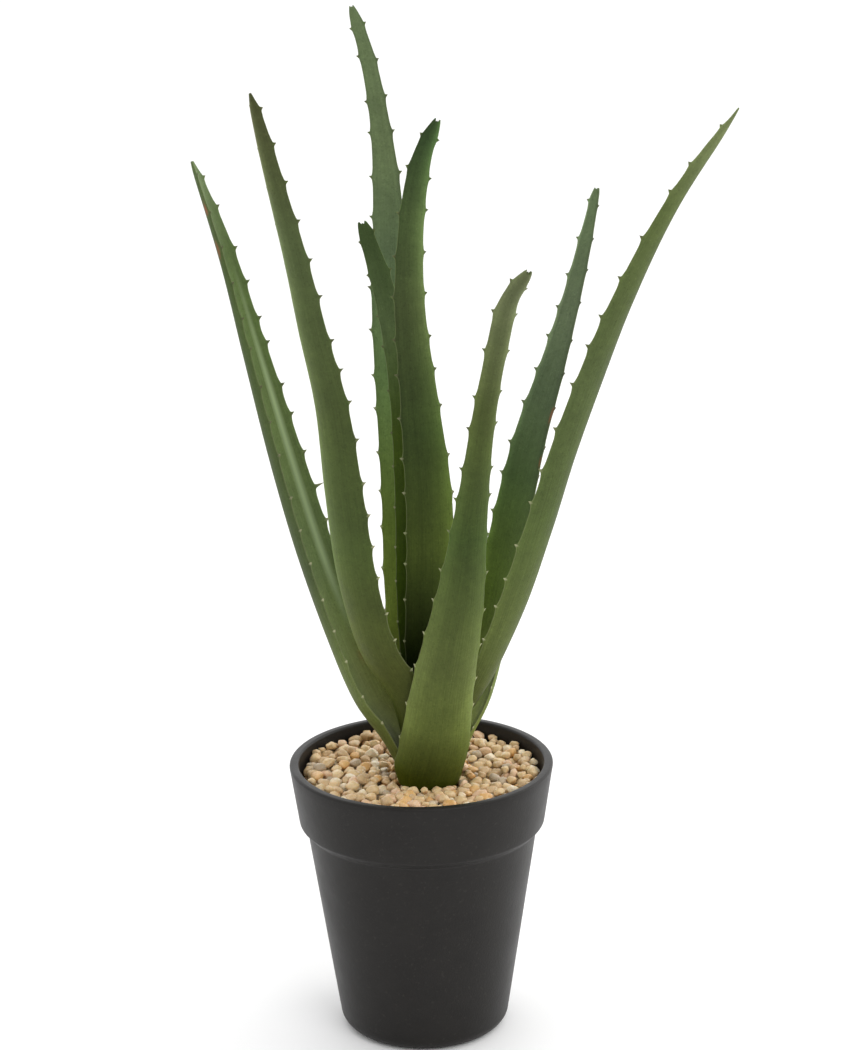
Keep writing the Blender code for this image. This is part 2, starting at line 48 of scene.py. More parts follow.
# ---- leaves, as laid out in the CAD ---------------------------------------------------------------
# Along a leaf, t runs from 0 at the base to 1 at the tip. Across it, s runs from -1 at one margin to 1
# at the other. Its side is 1 on the outer face and -1 on the inner one.
#   spine: points of the mid-line, base to tip
#   width: (t, distance between the margins)
#   cup: (t, half of the section's bend in degrees)
#   facing: (t, compass direction of the outer face, degrees from +X towards +Y)
#   thick: thickness at the base and at the tip
#   teeth, seed: number of thorns on each margin, and the seed of their spacing
#   tip: length over which the margins close, share of the width left at the end, depth of the notch
#   skin: (t, colour as 0-255 sRGB); the stops near the base also hold painted light and shade
#   shade_side, shade, lift: the side with painted light and shade, its (s, brightness) and (t, brightness)
#   blush: red rub marks, as (t, s, side, half length, half width in s, strength)
#   gleam: a painted highlight, a pale line, as (side, s, half width in s, [(t, strength)])
#   spur: one overgrown thorn, as (margin, number, extra height)
LEAVES = {
    "leaf_front": {
        "spine": [(-0.3, -14.5, 127), (5.8, -17, 145), (11.3, -25, 182), (20, -37, 232),
                  (26.2, -51, 285),
                  (31, -64, 326), (37, -77, 362), (42, -84, 384), (50, -90, 398)],
        "width": [(0, 23), (0.02, 32), (0.05, 33.5), (0.1, 33.4), (0.16, 31.4), (0.25, 28.4),
                  (0.36, 23.8),
                  (0.5, 17.2), (0.62, 13), (0.8, 10), (0.93, 9), (1, 5)],
        "cup": [(0, 38), (0.04, 50), (0.15, 48), (0.5, 40), (1, 30)],
        "facing": [(0, 272), (0.5, 278), (1, 285)],
        "thick": (5.0, 2.4), "teeth": 14, "seed": 100, "tip": (5.0, 0.62, 1.3),
        "skin": [(0.02, (52, 58, 4)), (0.12, (92, 103, 50)), (0.25, (82, 92, 47)), (0.5, (58, 73, 33)),
                 (0.74, (71, 81, 40)), (0.95, (88, 95, 64))],
        "shade_side": 1,
        "shade": [(-1, 1.65), (-0.7, 1.38), (-0.4, 1.02), (0, 0.92), (0.4, 1.12), (0.7, 1.42),
                  (1, 1.8)],
        "blush": [],
    },
    "leaf_left": {
        "spine": [(-7, 4, 129), (-15.5, 7, 147), (-28.5, 13, 166), (-42, 21, 197), (-56, 29, 236),
                  (-69, 37, 281), (-82, 45, 334), (-93, 52, 380), (-107, 59, 427)],
        "width": [(0, 20), (0.11, 33), (0.2, 31.5), (0.3, 28.5), (0.5, 25.5), (0.75, 18),
                  (0.92, 12), (1, 5)],
        "cup": [(0, 48), (0.12, 60), (0.3, 67), (0.7, 66), (1, 40)],
        "facing": [(0, 170), (0.07, 163), (0.16, 155), (0.3, 154), (0.6, 157), (0.8, 161), (1, 168)],
        "thick": (4.6, 2.4), "teeth": 17, "seed": 101, "tip": (9.0, 0.4, 0.0),
        "skin": [(0.02, (84, 90, 37)), (0.15, (100, 112, 60)), (0.35, (73, 86, 50)),
                 (0.6, (73, 87, 48)),
                 (0.85, (70, 86, 45)), (0.98, (86, 102, 62))],
        "shade_side": -1, "shade": [(-1, 1.6), (-0.7, 1.55), (-0.4, 1.75), (1, 1.8)],
        "blush": [(0.925, 0.75, 1, 3.2, 0.12, 0.75), (0.862, 0.72, 1, 4.4, 0.11, 0.65),
                  (0.2, -0.5, -1, 3.5, 0.10, 0.3), (0.16, -0.6, -1, 26.0, 0.6, 0.06)],
        # painted shade: the channel darker at the base and near the tip
        "painted_shade_along": [(0.0, 0.7), (0.2, 0.8), (0.32, 1.0), (0.66, 0.95), (0.88, 0.68), (1.0, 0.68)],
        "gleam": (-1, -0.58, 0.19, [(0.22, 0.0), (0.36, 0.75), (0.62, 0.8), (0.84, 0.0)]),
        "spur": (-1, 7, 3.4),
    },
    "leaf_right_rear": {
        "spine": [(15.5, 6.5, 130), (21, 9, 148), (31, 15, 169), (40, 28, 207), (48, 42, 244),
                  (58, 57, 286),
                  (69, 70, 319), (79, 82, 352), (86, 90, 379), (92, 98, 405)],
        "width": [(0, 20), (0.12, 25), (0.35, 25), (0.55, 20), (0.8, 11), (0.93, 7), (1, 4)],
        "cup": [(0, 48), (0.3, 42), (0.7, 34), (1, 24)],
        "facing": [(0, 25), (0.4, 48), (1, 55)],
        "thick": (4.4, 2.4), "teeth": 16, "seed": 102, "tip": (4.0, 0.7, 0.8),
        # the bright stop at the base is painted light on the low inner face
        "skin": [(0.02, (126, 136, 70)), (0.3, (87, 107, 39)), (0.5, (69, 88, 48)),
                 (0.65, (79, 94, 65)),
                 (0.8, (91, 104, 76)), (0.95, (93, 109, 76))],
        "shade_side": -1, "shade": [(-1, 0.72), (-0.7, 1.0), (0.7, 1.02), (1, 1.7)],
        "blush": [(0.61, -0.93, -1, 4.0, 0.08, 0.5), (0.53, -0.95, -1, 3.0, 0.07, 0.35)],
        # painted light: the low inner face brightened
        "painted_shade_along": [(0.0, 2.3), (0.1, 2.1), (0.2, 1.0), (1.0, 1.0)],
    },
    "leaf_right": {
        "spine": [(14, -4.5, 139), (20, -4, 160), (34, -7, 186), (48, -16, 222), (60, -28, 264),
                  (70, -36, 301), (83, -43, 341), (96, -49, 377), (116, -56, 421), (143, -62, 464)],
        "width": [(0, 17), (0.12, 24), (0.25, 26), (0.45, 21), (0.65, 18), (0.85, 11),
                  (0.95, 6.5), (1, 3)],
        "cup": [(0, 48), (0.3, 45), (0.7, 40), (1, 28)],
        "facing": [(0, 345), (0.3, 325), (1, 320)],
        "thick": (4.4, 2.4), "teeth": 17, "seed": 103, "tip": (22.0, 0.12, 0.0),
        "skin": [(0.02, (75, 79, 31)), (0.2, (87, 98, 50)), (0.4, (80, 94, 50)), (0.6, (79, 91, 53)),
                 (0.85, (84, 96, 53)), (0.98, (112, 122, 80))],
        "shade_side": 1, "shade": [(-1, 1.25), (-0.8, 0.95), (0, 1.0), (0.7, 0.9), (1, 1.15)],
        "blush": [],
    },
    "leaf_rear_tall": {
        "spine": [(1.5, 10.5, 138), (-2.5, 18.5, 172), (-7.6, 28, 214), (-9, 45, 262), (-11, 63, 308),
                  (-13, 80, 355), (-13, 96, 396), (-16, 110, 434), (-22, 121, 468), (-30, 130, 494)],
        "width": [(0, 15), (0.12, 18), (0.35, 18), (0.6, 17.5), (0.72, 15), (0.85, 9.5),
                  (0.93, 7.5), (1, 5)],
        "cup": [(0, 48), (0.3, 38), (0.7, 30), (1, 24)],
        "facing": [(0, 95), (0.5, 92), (1, 95)],
        "thick": (4.2, 2.2), "teeth": 18, "seed": 104, "tip": (8.0, 0.45, 0.8),
        "skin": [(0.1, (110, 122, 50)), (0.3, (100, 119, 50)), (0.5, (91, 114, 66)),
                 (0.66, (83, 99, 68)),
                 (0.8, (91, 105, 70)), (0.97, (94, 109, 74))],
        "shade_side": -1,
        "shade": [(-1, 0.7), (-0.85, 0.95), (-0.7, 1.12), (-0.4, 1.0), (0.8, 1.05), (1, 0.9)],
        "blush": [],
        # painted light: the low inner face brightened
        "painted_shade_along": [(0.0, 2.2), (0.1, 2.2), (0.3, 1.0), (1.0, 1.0)],
    },
    "leaf_left_front": {
        "spine": [(-4, -4, 140), (-10.5, -7, 172), (-23.8, -12, 198), (-32.5, -20, 236),
                  (-37, -28, 280),
                  (-41, -35, 325), (-48, -42, 362), (-54, -48, 396), (-62, -54, 434), (-70, -60, 473)],
        "width": [(0, 17), (0.1, 28), (0.16, 30), (0.22, 28.5), (0.3, 26.7), (0.4, 24.8), (0.6, 19),
                  (0.85, 12), (0.95, 8), (1, 4)],
        "cup": [(0, 48), (0.3, 45), (0.7, 38), (1, 28)],
        "facing": [(0, 208), (0.3, 226), (1, 230)],
        "thick": (4.2, 2.2), "teeth": 18, "seed": 105, "tip": (10.0, 0.3, 0.0),
        "skin": [(0.03, (53, 61, 20)), (0.15, (72, 78, 35)), (0.35, (67, 80, 39)), (0.55, (65, 76, 39)),
                 (0.8, (73, 84, 50)), (0.97, (70, 74, 43))],
        "shade_side": 1,
        "shade": [(-1, 3.1), (-0.7, 2.7), (-0.37, 1.75), (0, 1.32), (0.37, 1.02), (1, 1.0)],
        "blush": [(0.97, -0.75, 1, 14.0, 0.16, 0.3)],
    },
    "leaf_inner_short": {
        "spine": [(2.2, 7.5, 148), (-2, 10.5, 178), (-4.5, 16.8, 218), (-5, 22, 266), (-7, 28, 314),
                  (-12, 35, 352), (-18, 40, 376), (-25, 46, 398)],
        "width": [(0, 13), (0.12, 16), (0.4, 15), (0.7, 13), (0.87, 11), (0.95, 8.5), (1, 6)],
        "cup": [(0, 48), (0.3, 40), (0.7, 36), (1, 30)],
        "facing": [(0, 115), (0.5, 112), (1, 112)],
        "thick": (3.8, 2.2), "teeth": 13, "seed": 106, "tip": (5.0, 0.7, 1.4),
        # the near-black stops low down are painted shade of the rosette's centre
        "skin": [(0.04, (18, 24, 0)), (0.16, (44, 60, 1)), (0.3, (58, 78, 0)), (0.6, (63, 81, 17)),
                 (0.8, (81, 97, 59)), (0.97, (59, 75, 39))],
        "shade_side": -1, "shade": [(-1, 1.0), (1, 1.0)],
        "blush": [],
    },
    "leaf_centre": {
        "spine": [(4, 2, 153), (4, 3, 180), (5.6, 5, 219), (6, 8, 269), (2, 11, 318), (-2, 14, 366),
                  (0, 17, 408), (5, 19, 434), (12, 21, 450)],
        "width": [(0, 13), (0.12, 22), (0.3, 23), (0.42, 22), (0.6, 17), (0.8, 12.5), (0.93, 9.5),
                  (1, 5)],
        "cup": [(0, 48), (0.3, 44), (0.7, 38), (1, 30)],
        "facing": [(0, 90), (0.5, 84), (1, 80)],
        "thick": (3.8, 2.2), "teeth": 15, "seed": 107, "tip": (6.0, 0.6, 1.3),
        # the near-black stops low down are painted shade of the rosette's centre
        "skin": [(0.04, (13, 17, 3)), (0.14, (35, 45, 10)), (0.3, (75, 88, 37)), (0.5, (57, 71, 34)),
                 (0.7, (67, 78, 44)), (0.85, (67, 82, 46)), (0.97, (49, 67, 36))],
        "shade_side": -1,
        "shade": [(-1, 3.0), (-0.85, 2.45), (-0.6, 1.85), (-0.37, 1.5), (0, 1.16), (0.4, 0.93),
                  (0.7, 1.02), (1, 0.8)],
        "blush": [],
    },
}
EVEN = [(0.0, 1.0), (1.0, 1.0)]                            # painted light and shade along a leaf that has none of its own
NO_GLEAM = (0, 0.0, 1.0, [(0.0, 0.0), (1.0, 0.0)])
NO_SPUR = (0, 0, 0.0)

SPINE_STEPS = 400            # rows of a leaf's tables
SPAN_STEPS = 24              # samples between two spine points, before even spacing
TURN_SMOOTHING = 6           # rounds of averaging of the mid-line's direction
LEAST_BEND = 1.0             # degrees
TIP_ROUNDING, TIP_THINNING = 0.8, 0.6                      # powers: how the width and thickness close
SECTION_BULK, SECTION_ROUNDING = 2.2, 0.7                  # powers: thickness from mid-line to margin


def smooth_path(points, steps):
    """Points along a Catmull-Rom curve through the given points, spaced evenly along its length."""
    ctrl = np.array(points, dtype=float)
    ctrl = np.vstack([2 * ctrl[0] - ctrl[1], ctrl, 2 * ctrl[-1] - ctrl[-2]])
    knots = np.concatenate([[0], np.cumsum(np.sqrt(np.linalg.norm(np.diff(ctrl, axis=0), axis=1)))])
    dense = []
    for i in range(1, len(ctrl) - 2):
        for u in np.linspace(knots[i], knots[i + 1], SPAN_STEPS, endpoint=(i == len(ctrl) - 3)):
            dense.append(catmull_rom(ctrl[i - 1:i + 3], knots[i - 1:i + 3], u))
    dense = np.array(dense)
    along = np.concatenate([[0], np.cumsum(np.linalg.norm(np.diff(dense, axis=0), axis=1))])
    even = np.linspace(0, along[-1], steps + 1)
    return np.stack([np.interp(even, along, dense[:, k]) for k in range(3)], axis=1), along[-1]


def catmull_rom(p, k, u):
    """Point at u between the middle two of four points p, whose knots are k."""
    a1 = (k[1] - u) / (k[1] - k[0]) * p[0] + (u - k[0]) / (k[1] - k[0]) * p[1]
    a2 = (k[2] - u) / (k[2] - k[1]) * p[1] + (u - k[1]) / (k[2] - k[1]) * p[2]
    a3 = (k[3] - u) / (k[3] - k[2]) * p[2] + (u - k[2]) / (k[3] - k[2]) * p[3]
    b1 = (k[2] - u) / (k[2] - k[0]) * a1 + (u - k[0]) / (k[2] - k[0]) * a2
    b2 = (k[3] - u) / (k[3] - k[1]) * a2 + (u - k[1]) / (k[3] - k[1]) * a3
    return (k[2] - u) / (k[2] - k[1]) * b1 + (u - k[1]) / (k[2] - k[1]) * b2


def profile(knots, t):
    """A smooth curve through (t, value) knots: cubic between them, with slopes from their neighbours."""
    ts = np.array([k[0] for k in knots], dtype=float)
    vs = np.array([k[1] for k in knots], dtype=float)
    slopes = np.gradient(vs, ts) if len(ts) > 2 else np.full(2, (vs[1] - vs[0]) / (ts[1] - ts[0]))
    i = int(min(max(np.searchsorted(ts, t) - 1, 0), len(ts) - 2))
    h = ts[i + 1] - ts[i]
    u = min(max((t - ts[i]) / h, 0.0), 1.0)
    return ((1 + 2 * u) * (1 - u) ** 2 * vs[i] + u * (1 - u) ** 2 * h * slopes[i]
            + u * u * (3 - 2 * u) * vs[i + 1] + u * u * (u - 1) * h * slopes[i + 1])


class Leaf:
    """A tapering blade with a crescent section, tabulated along its length."""

    def __init__(self, spec):
        self.spec = spec
        self.path, self.length = smooth_path(spec["spine"], SPINE_STEPS)
        tangents = np.gradient(self.path, axis=0)
        for _ in range(TURN_SMOOTHING):
            tangents[1:-1] = (tangents[:-2] + 2 * tangents[1:-1] + tangents[2:]) / 4
        self.tangents = tangents / np.linalg.norm(tangents, axis=1)[:, None]
        shares = np.linspace(0, 1, SPINE_STEPS + 1)
        turn = np.radians([profile(spec["facing"], t) for t in shares])
        out = np.stack([np.cos(turn), np.sin(turn), 0 * turn], axis=1)
        out -= self.tangents * (out * self.tangents).sum(axis=1)[:, None]
        self.out = out / np.linalg.norm(out, axis=1)[:, None]
        self.across = np.cross(self.tangents, self.out)
        self.bend = np.radians([max(profile(spec["cup"], t), LEAST_BEND) for t in shares])
        closing, left_over, _ = spec["tip"]
        to_tip = np.clip((1 - shares) * self.length / closing, 0, 1)
        close = np.sin(to_tip * QUARTER_TURN) ** TIP_ROUNDING
        kept = left_over + (1 - left_over) * close
        width = np.array([profile(spec["width"], t) for t in shares]) * kept
        self.radius = width / 2 / np.sin(self.bend)
        thick_base, thick_tip = spec["thick"]
        self.half = (thick_base + (thick_tip - thick_base) * shares) / 2 * kept ** TIP_THINNING

    def at(self, table, t):
        """Values of a table at an array of shares of the length."""
        x = np.clip(t, 0, 1) * SPINE_STEPS
        i = np.minimum(x.astype(int), SPINE_STEPS - 1)
        u = x - i
        if table.ndim > 1:
            u = u[..., None]
        return (1 - u) * table[i] + u * table[i + 1]

    def surface(self, t, s, side):
        """Points of the skin, with the directions away from the margin and along the leaf."""
        out, across, tangent = self.at(self.out, t), self.at(self.across, t), self.at(self.tangents, t)
        bend, radius = self.at(self.bend, t), self.at(self.radius, t)
        bulk = (1 - np.abs(s) ** SECTION_BULK) ** SECTION_ROUNDING
        reach = radius + side * self.at(self.half, t) * bulk
        angle = s * bend
        spoke = out * np.cos(angle)[..., None] + across * np.sin(angle)[..., None]
        point = self.at(self.path, t) - out * radius[..., None] + reach[..., None] * spoke
        hand = np.where(s < 0, -1.0, 1.0)
        away = (hand * np.cos(bend))[..., None] * across - np.sin(bend)[..., None] * out
        return point, away, tangent


# ---- leaf meshes ----------------------------------------------------------------------------------
LEAF_CREASE = 50             # degrees between faces beyond which a leaf has an edge
SECTION_STEPS = 16           # quads across each face of a leaf
FIRST_TOOTH, LAST_TOOTH = 0.09, 0.975                      # where on the leaf the thorns start and end
TOOTH_NUDGE = 0.16           # how far a thorn strays, as a share of the step between thorns
NEAR_TOOTH = (0.15, 0.35, 0.6, 0.9, 1.4, 2.2, 3.4, 5.0)    # rings beside a thorn, from its point
BASE_RINGS, GAP_RINGS, TIP_RINGS = 9, 4, 8                 # rings below, between and above the thorns
WEB_HEIGHT, WEB_REACH = 0.75, 3.0                          # the broad foot of a thorn
WEB_START = 0.62             # where in s the margin starts to be drawn out into webs
SPIKE_HEIGHT = (0.9, 1.9)    # the point of a thorn, low and high on the leaf
SPIKE_HEIGHT_AT = (0.15, 0.6)                              # where in t those two heights are reached
SPIKE_REACH, SPIKE_LEAN = 1.05, 0.8
SPIKE_START = 0.90           # where in s the points start
SPIKE_TAPER, BLADE_TAPER, WEB_TAPER = 1.2, 1.8, 2          # powers
SLIM_LEAF, FULL_SIZE = 0.5, 18.0                           # thorns of a narrow leaf are smaller
NOTCH_START = 0.985          # where in t the cut end starts
NOTCH_POWER, NOTCH_LOBES, LOBE_DEPTH = 1.5, 9.0, 0.35      # the ragged edge of the cut end
NO_TOOTH_NEAR = 99.0


def tooth_stations(count, rng):
    """Share of the length at each tooth of one margin: even steps, nudged."""
    step = (LAST_TOOTH - FIRST_TOOTH) / (count - 1)
    return [FIRST_TOOTH + step * (i + rng.uniform(-TOOTH_NUDGE, TOOTH_NUDGE)) for i in range(count)]


def stations(teeth, length):
    """Ring places on one margin: close together at each tooth, wider apart between them."""
    near = [d / length for d in NEAR_TOOTH]
    rings = list(np.linspace(0, teeth[0] - near[-1], BASE_RINGS))
    for i, tooth in enumerate(teeth):
        rings += [tooth - d for d in reversed(near[:-1])] + [tooth] + [tooth + d for d in near[:-1]]
        if i + 1 < len(teeth):
            rings += list(np.linspace(tooth + near[-1], teeth[i + 1] - near[-1], GAP_RINGS))
    end = rings[-1]
    turns = [k / TIP_RINGS * QUARTER_TURN for k in range(1, TIP_RINGS + 1)]
    return rings + [end + (1 - end) * math.sin(turn) for turn in turns]


def towards_margin(s, start, power):
    """0 up to the start, then rising to 1 at the margin."""
    return np.clip((np.abs(s) - start) / (1 - start), 0, 1) ** power


def draw_teeth(leaf, margins, places, t, s, point, away, tangent):
    """Draw the margins out into webs and thorns; returns the points and how much of a thorn each is."""
    spur_hand, spur_number, spur_length = leaf.spec.get("spur", NO_SPUR)
    distance = np.full(s.shape, NO_TOOTH_NEAR)
    extra = np.zeros(s.shape)
    for hand, teeth, rings in zip((-1, 1), margins, places):
        gaps = np.abs(rings[:, None] - np.array(teeth)[None, :])
        distance = np.where(s * hand >= 0, gaps.min(axis=1)[:, None] * leaf.length, distance)
        grown = (gaps.argmin(axis=1) == spur_number)[:, None] & (s * hand > 0) & (hand == spur_hand)
        extra = np.where(grown, spur_length, extra)
    spike = np.clip(1 - distance / SPIKE_REACH, 0, 1) ** SPIKE_TAPER
    thorn = spike * towards_margin(s, SPIKE_START, BLADE_TAPER)
    web = WEB_HEIGHT * np.exp(-(distance / WEB_REACH) ** 2) * towards_margin(s, WEB_START, WEB_TAPER)
    height = np.interp(t, SPIKE_HEIGHT_AT, SPIKE_HEIGHT) + extra
    half_width = leaf.at(leaf.radius * np.sin(leaf.bend), t)
    size = np.minimum(1.0, SLIM_LEAF + half_width / FULL_SIZE)
    point = point + away * (size * (web + height * thorn))[..., None]
    point = point + tangent * (size * SPIKE_LEAN * thorn)[..., None]
    depth = np.clip((t - NOTCH_START) / (1 - NOTCH_START), 0, 1) * leaf.spec["tip"][2]
    ragged = np.abs(s) ** NOTCH_POWER - 0.5 + LOBE_DEPTH * np.cos(NOTCH_LOBES * s)
    return point + tangent * (depth * ragged)[..., None], thorn


def blush_values(leaf, t, s, side):
    """Strength of the red rub marks."""
    total = np.zeros(s.shape)
    for at, across, face, half_length, half_width, strength in leaf.spec["blush"]:
        d = ((t - at) * leaf.length / half_length) ** 2 + ((s - across) / half_width) ** 2
        total = np.maximum(total, np.where(side == face, strength * np.exp(-d * d), 0.0))
    return total


def shade_values(spec, t, s, side):
    """Painted light and shade: brightness of the face that carries it, and 1 on the other."""
    value = np.interp(s, *zip(*spec["shade"])) * np.interp(t, *zip(*spec.get("painted_shade_along", EVEN)))
    return np.where(side == spec["shade_side"], value, 1.0)


def gleam_values(spec, t, side):
    """Strength of the painted highlight, a pale line along the leaf."""
    face, _, _, stops = spec.get("gleam", NO_GLEAM)
    return np.where(side == face, np.interp(t, *zip(*stops)), 0.0)


def leaf_faces(rings, count):
    """Quads between neighbouring rings, with a strip of quads over each end."""
    faces = []
    for ring in range(rings - 1):
        low, high = ring * count, (ring + 1) * count
        for k in range(count):
            following = (k + 1) % count
            faces.append((low + k, low + following, high + following, high + k))
    for start, flip in ((0, True), ((rings - 1) * count, False)):
        for k in range(SECTION_STEPS):
            strip = [k, k + 1, (count - k - 1) % count, (count - k) % count]
            corners = [start + c for c in dict.fromkeys(strip)]
            faces.append(tuple(reversed(corners)) if flip else tuple(corners))
    return faces


def make_leaf(name, spec, material):
    """One leaf, with the values its paint reads stored on its points."""
    leaf = Leaf(spec)
    rng = random.Random(spec["seed"])
    margins = [tooth_stations(spec["teeth"], rng), tooth_stations(spec["teeth"], rng)]
    places = [np.array(stations(teeth, leaf.length)) for teeth in margins]
    sweep = [-math.cos(math.pi * k / SECTION_STEPS) for k in range(SECTION_STEPS + 1)]
    section = [(s, 1.0) for s in sweep] + [(s, -1.0) for s in reversed(sweep[1:-1])]
    rings, count = len(places[0]), len(section)
    s = np.tile([p[0] for p in section], (rings, 1))
    side = np.tile([p[1] for p in section], (rings, 1))
    t = places[0][:, None] + (places[1] - places[0])[:, None] * (s + 1) / 2
    point, away, tangent = leaf.surface(t, s, side)
    point, thorn = draw_teeth(leaf, margins, places, t, s, point, away, tangent)
    mesh = bpy.data.meshes.new(name)
    mesh.from_pydata((point.reshape(-1, 3) * MM).tolist(), [], leaf_faces(rings, count))
    values = {"along": t, "across": s, "side": side, "thorn": thorn,
              "blush": blush_values(leaf, t, s, side), "shade": shade_values(spec, t, s, side),
              "gleam": gleam_values(spec, t, side)}
    for label, table in values.items():
        layer = mesh.attributes.new(label, "FLOAT", "POINT")
        layer.data.foreach_set("value", table.reshape(-1))
    return finish_piece(name, mesh, material, LEAF_CREASE)


def finish_piece(name, mesh, material, sharp_degrees, fix_normals=True):
    """Face the mesh outwards, shade it smooth and put it in the scene on the root body."""
    if fix_normals:
        bm = bmesh.new()
        bm.from_mesh(mesh)
        bmesh.ops.recalc_face_normals(bm, faces=bm.faces)
        bm.to_mesh(mesh)
        bm.free()
    mesh.shade_smooth()
    if sharp_degrees:
        mesh.set_sharp_from_angle(angle=math.radians(sharp_degrees))
    mesh.materials.append(material)
    piece = bpy.data.objects.new(name, mesh)
    bpy.context.scene.collection.objects.link(piece)
    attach(piece, "root")
    return piece


# ---- shader helpers -------------------------------------------------------------------------------
class Shader:
    """Builds one procedural material; the methods that add a node return its output socket."""

    def __init__(self, name):
        self.material = bpy.data.materials.new(name)
        self.material.use_nodes = True
        self.nodes = self.material.node_tree.nodes
        self.links = self.material.node_tree.links
        self.bsdf = self.nodes["Principled BSDF"]

    def join(self, value, socket):
        """Link an output socket, or set a plain value, on an input socket."""
        if isinstance(value, bpy.types.NodeSocket):
            self.links.new(value, socket)
        elif isinstance(value, tuple) and len(value) == 3 and socket.type == "RGBA":
            socket.default_value = (*value, 1.0)
        else:
            socket.default_value = value

    def attribute(self, name):
        """A value stored on the mesh's points."""
        node = self.nodes.new("ShaderNodeAttribute")
        node.attribute_name = name
        return node.outputs["Fac"]

    def place(self, scale=(1, 1, 1)):
        """The point's own place on the object, scaled."""
        node = self.nodes.new("ShaderNodeTexCoord")
        mapping = self.nodes.new("ShaderNodeMapping")
        self.links.new(node.outputs["Object"], mapping.inputs["Vector"])
        mapping.inputs["Scale"].default_value = scale
        return mapping.outputs["Vector"]

    def combine(self, x, y, z):
        """A vector of three values."""
        node = self.nodes.new("ShaderNodeCombineXYZ")
        for value, socket in zip((x, y, z), node.inputs):
            self.join(value, socket)
        return node.outputs["Vector"]

    def math(self, operation, *values):
        """Arithmetic on one or two values."""
        node = self.nodes.new("ShaderNodeMath")
        node.operation = operation
        for value, socket in zip(values, node.inputs):
            self.join(value, socket)
        return node.outputs["Value"]

    def noise(self, vector, scale, detail, roughness=0.55):
        """Cloudy noise, mostly between 0.3 and 0.7."""
        node = self.nodes.new("ShaderNodeTexNoise")
        self.join(vector, node.inputs["Vector"])
        node.inputs["Scale"].default_value = scale
        node.inputs["Detail"].default_value = detail
        node.inputs["Roughness"].default_value = roughness
        return node.outputs["Fac"]

    def ramp(self, value, stops):
        """Turn a value into a colour; stops are (place, colour or grey), joined by straight lines."""
        node = self.nodes.new("ShaderNodeValToRGB")
        self.join(value, node.inputs["Fac"])
        elements = node.color_ramp.elements
        while len(elements) < len(stops):
            elements.new(0.5)
        for element, (place, colour) in zip(elements, stops):
            element.position = place
            element.color = (*(colour if isinstance(colour, tuple) else (colour,) * 3), 1.0)
        return node.outputs["Color"]

    def mix(self, share, a, b, blend="MIX"):
        """Colour a, with that share of b blended in."""
        node = self.nodes.new("ShaderNodeMix")
        node.data_type = "RGBA"
        node.blend_type = blend
        self.join(share, node.inputs["Factor"])
        self.join(a, node.inputs["A"])
        self.join(b, node.inputs["B"])
        return node.outputs["Result"]

    def grey(self, value):
        """A value as a grey colour."""
        node = self.nodes.new("ShaderNodeCombineColor")
        for socket in node.inputs:
            if socket.name in ("Red", "Green", "Blue"):
                self.join(value, socket)
        return node.outputs["Color"]

    def bump(self, height, strength, distance, normal=None):
        """Surface relief, on top of an earlier one if that is given."""
        node = self.nodes.new("ShaderNodeBump")
        node.inputs["Strength"].default_value = strength
        node.inputs["Distance"].default_value = distance
        self.join(height, node.inputs["Height"])
        if normal is not None:
            self.join(normal, node.inputs["Normal"])
        return node.outputs["Normal"]

    def finish(self, colour, roughness, normal=None, **settings):
        """Connect the surface and return the material."""
        self.join(colour, self.bsdf.inputs["Base Color"])
        self.join(roughness, self.bsdf.inputs["Roughness"])
        if normal is not None:
            self.join(normal, self.bsdf.inputs["Normal"])
        for key, value in settings.items():
            self.join(value, self.bsdf.inputs[key.replace("_", " ")])
        return self.material


def linear(colour):
    """Linear light of an 0-255 sRGB colour."""
    return tuple(((c / 255 + 0.055) / 1.055) ** 2.4 if c > 10 else c / 255 / 12.92 for c in colour)


# ---- paint: colours are linear light, noise scales are per metre -----------------------------------
SKIN_GAIN = 0.95             # paint colour over seen colour, in this studio light
# colour of the painted highlight line
GLEAM_COLOUR = (0.33, 0.42, 0.22)
BLUSH_COLOUR = (0.30, 0.080, 0.045)
# pale margin colour, partly the margin's own and partly painted highlight
MARGIN_AND_HIGHLIGHT_COLOUR = (0.22, 0.23, 0.12)
LOW_THORN, HIGH_THORN = (0.40, 0.40, 0.24), (0.085, 0.085, 0.042)
CLOUDS, POWDER, SPECKS, GRAIN = 55.0, 330.0, 1000.0, 2400.0
STREAKS_ACROSS, STREAKS_ALONG, STREAKS = 9.0, 2.6, 3.2     # stretch in s and in t, and noise scale
SKIN_RELIEF = 0.0006         # metres


